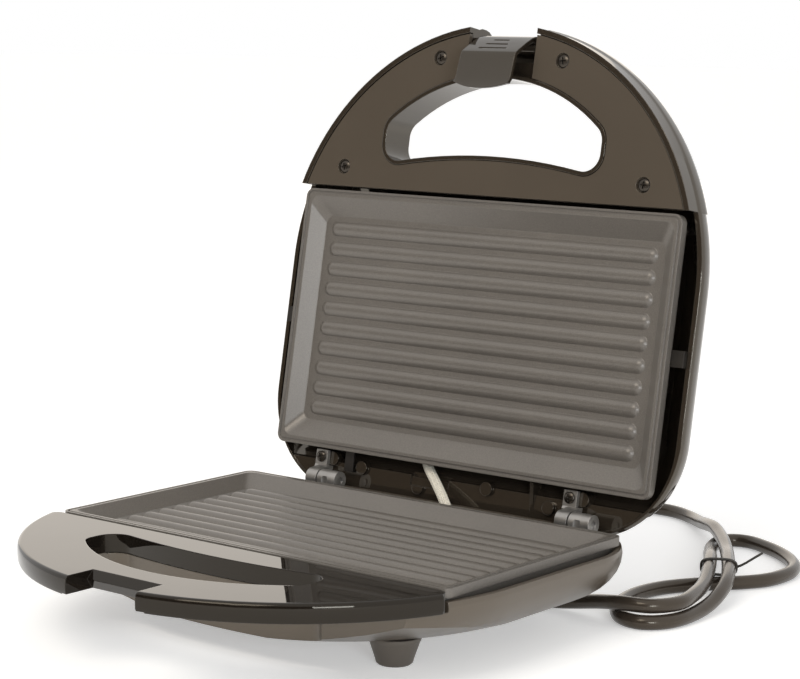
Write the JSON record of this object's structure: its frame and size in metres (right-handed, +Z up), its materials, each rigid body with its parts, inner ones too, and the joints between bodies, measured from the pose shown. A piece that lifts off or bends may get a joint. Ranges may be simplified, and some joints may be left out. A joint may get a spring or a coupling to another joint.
{
  "type": "sandwich toaster",
  "caption": "Two-plate sandwich toaster with ribbed non-stick plates, D-shaped grips, a hinged lid standing open, a clip latch, four feet and a coiled mains lead.",
  "frame": {"origin": "centre of the footprint (without the lead and plug) on the worktop plane", "axes": "+Z up, -Y towards the user's side with the grips, +Y towards the hinge, +X along the hinge towards the user's right"},
  "size_m": [0.2623, 0.4502, 0.2749],
  "materials": {
    "black_gloss": "glossy moulded black plastic, lightly reflective",
    "grip_cover": "glossy moulded black plastic",
    "panel": "black plastic with a satin sheen",
    "nonstick": "dark grey fine-speckled non-stick coating on cast aluminium",
    "foot_plastic": "matte black plastic",
    "hinge_metal": "matte grey die-cast",
    "pin_steel": "plain steel",
    "screw_steel": "blackened steel screws",
    "heater_steel": "sheathed heating element",
    "reflector_steel": "thin aluminised sheet",
    "ceramic": "white ceramic or mineral-filled plastic",
    "sleeve": "cream woven glass-fibre sleeve",
    "cord_pvc": "black PVC, semi-gloss",
    "tie_wire": "black coated wire",
    "plug_pvc": "black moulded PVC",
    "plug_metal": "plated brass contacts",
    "lens_red": "clear red plastic",
    "lens_green": "clear green plastic",
    "lamp_glass": "clear glass"
  },
  "bodies": {
    "base": {"lower_housing": "black_gloss", "lower_handle_cover": "grip_cover", "lower_plate": "nonstick", "lower_heater": "heater_steel", "lower_reflector": "reflector_steel", "thermostat": "ceramic", "terminal_block": "ceramic", "foot_front_left": "foot_plastic", "foot_front_right": "foot_plastic", "foot_rear_left": "foot_plastic", "foot_rear_right": "foot_plastic", "base_screws": "screw_steel", "hinge_leaf_base_left": "hinge_metal", "hinge_leaf_base_right": "hinge_metal", "hinge_pin_left": "pin_steel", "hinge_pin_right": "pin_steel", "hinge_screws_base": "screw_steel", "wire_sleeve": "sleeve", "cord_gland": "cord_pvc", "power_cord": "cord_pvc", "cord_tie": "tie_wire", "mains_plug": "plug_pvc", "plug_pins": "plug_metal"},
    "lid": {"upper_housing": "black_gloss", "upper_handle_panel": "panel", "panel_screws": "screw_steel", "upper_plate": "nonstick", "upper_heater": "heater_steel", "upper_reflector": "reflector_steel", "upper_plate_clips": "hinge_metal", "thermal_fuse": "ceramic", "upper_screws": "screw_steel", "hinge_leaf_lid_left": "hinge_metal", "hinge_leaf_lid_right": "hinge_metal", "hinge_screws_lid": "screw_steel", "pilot_lens_power": "lens_red", "pilot_lens_ready": "lens_green", "neon_lamps": "lamp_glass", "latch_pin": "pin_steel"},
    "latch": {"latch_clip": "black_gloss"}
  },
  "joints": [
    {"name": "lid_hinge", "type": "hinge", "parent": "base", "child": "lid", "pos_m": [0, 0.08754, 0.04245], "axis": [1, 0, 0], "range_deg": [0, 100], "deforming": ["wire_sleeve"]},
    {"name": "latch_pivot", "type": "hinge", "parent": "lid", "child": "latch", "pos_m": [0, 0.13662, 0.2646], "axis": [-1, 0, 0], "range_deg": [0, 42], "stiffness_Nm_per_rad": 0.02, "springref_deg": -20.05}
  ]
}
